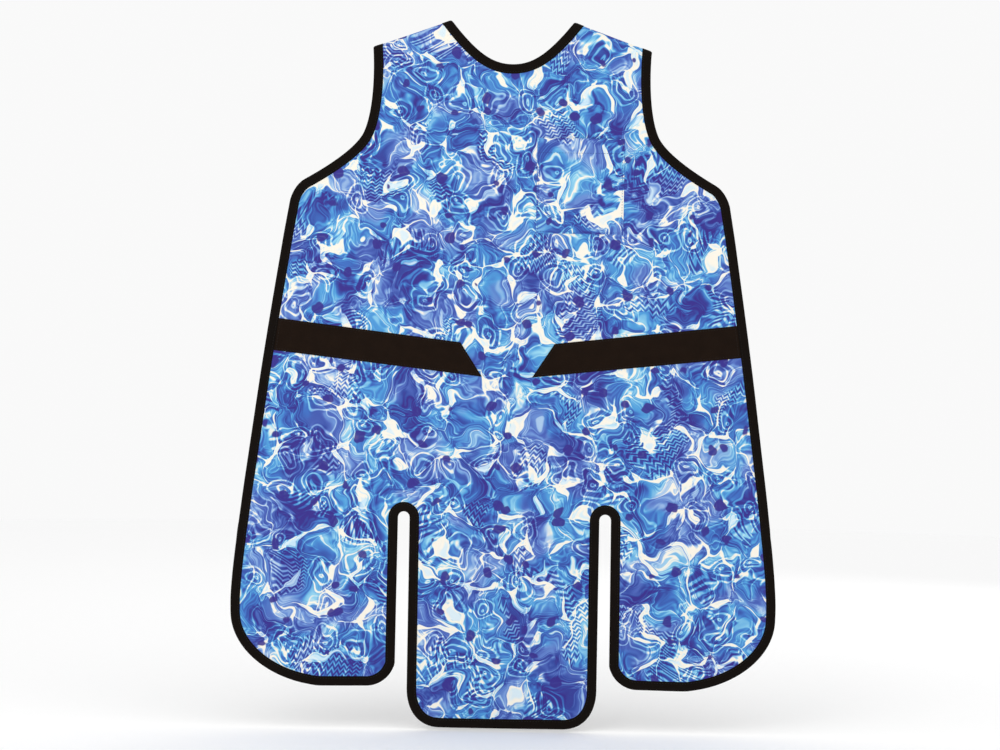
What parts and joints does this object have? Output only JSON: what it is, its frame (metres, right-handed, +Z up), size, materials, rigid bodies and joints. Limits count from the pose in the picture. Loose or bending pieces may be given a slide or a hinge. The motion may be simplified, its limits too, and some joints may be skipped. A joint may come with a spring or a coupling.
{
  "type": "radiation protection apron",
  "caption": "Bib-style radiation apron with a printed front, bound edges, chest pocket, waist loop strips, split hem tails and a crossed back harness.",
  "frame": {"origin": "midway between the two neck tips of the shoulder fold, in the middle of the panel's thickness", "axes": "+Z up along the hanging apron, front faces -Y, the wearer's left side is at +X"},
  "size_m": [0.8184, 0.0169, 1.061],
  "materials": {
    "printed_cover": "smooth printed nylon, marbled blue and white",
    "inside_lining": "matte plain-weave nylon",
    "binding_tape": "ribbed woven tape, slight sheen",
    "loop_strip": "brushed loop pile on ribbed tape",
    "belt_webbing": "woven webbing",
    "hook_patch": "moulded nylon hooks",
    "shielding_sheet": "loaded vinyl sheet",
    "strap_foam": "closed-cell foam"
  },
  "bodies": {
    "panel": {"front_cover": "printed_cover", "core_outer": "shielding_sheet", "core_inner": "shielding_sheet", "back_lining": "inside_lining", "neck_binding": "binding_tape", "left_armhole_binding": "binding_tape", "right_armhole_binding": "binding_tape", "left_side_binding": "binding_tape", "right_side_binding": "binding_tape", "left_slot_binding": "binding_tape", "right_slot_binding": "binding_tape", "pocket_panel": "printed_cover", "pocket_hem": "printed_cover", "left_loop_strip": "loop_strip", "right_loop_strip": "loop_strip"},
    "left_tail": {"left_tail_cover": "printed_cover", "left_tail_core_outer": "shielding_sheet", "left_tail_core_inner": "shielding_sheet", "left_tail_lining": "inside_lining", "left_tail_binding": "binding_tape"},
    "centre_tail": {"centre_tail_cover": "printed_cover", "centre_tail_core_outer": "shielding_sheet", "centre_tail_core_inner": "shielding_sheet", "centre_tail_lining": "inside_lining", "centre_tail_binding": "binding_tape"},
    "right_tail": {"right_tail_cover": "printed_cover", "right_tail_core_outer": "shielding_sheet", "right_tail_core_inner": "shielding_sheet", "right_tail_lining": "inside_lining", "right_tail_binding": "binding_tape"},
    "harness": {"left_strap_cover": "printed_cover", "left_strap_padding": "strap_foam", "left_strap_lining": "inside_lining", "left_strap_binding": "binding_tape", "right_strap_cover": "printed_cover", "right_strap_padding": "strap_foam", "right_strap_lining": "inside_lining", "right_strap_binding": "binding_tape", "strap_cross_patch": "binding_tape"},
    "left_belt": {"left_belt_web": "belt_webbing", "left_belt_hook": "hook_patch"},
    "right_belt": {"right_belt_web": "belt_webbing", "right_belt_hook": "hook_patch"}
  },
  "joints": [
    {"name": "left_tail_fold", "type": "hinge", "parent": "panel", "child": "left_tail", "pos_m": [0, 0, -0.768], "axis": [-1, 0, 0], "range_deg": [-30, 100]},
    {"name": "centre_tail_fold", "type": "hinge", "parent": "panel", "child": "centre_tail", "pos_m": [0, 0, -0.768], "axis": [-1, 0, 0], "range_deg": [-30, 100]},
    {"name": "right_tail_fold", "type": "hinge", "parent": "panel", "child": "right_tail", "pos_m": [0, 0, -0.768], "axis": [-1, 0, 0], "range_deg": [-30, 100]},
    {"name": "harness_lift", "type": "hinge", "parent": "panel", "child": "harness", "pos_m": [0, 0.0024, 0], "axis": [1, 0, 0], "range_deg": [0, 60]},
    {"name": "left_belt_open", "type": "hinge", "parent": "harness", "child": "left_belt", "pos_m": [0.338, 0.0068, -0.478], "axis": [0.124, 0, -0.9923], "range_deg": [0, 175]},
    {"name": "right_belt_open", "type": "hinge", "parent": "harness", "child": "right_belt", "pos_m": [-0.338, 0.0112, -0.478], "axis": [0.124, 0, 0.9923], "range_deg": [0, 175]}
  ]
}
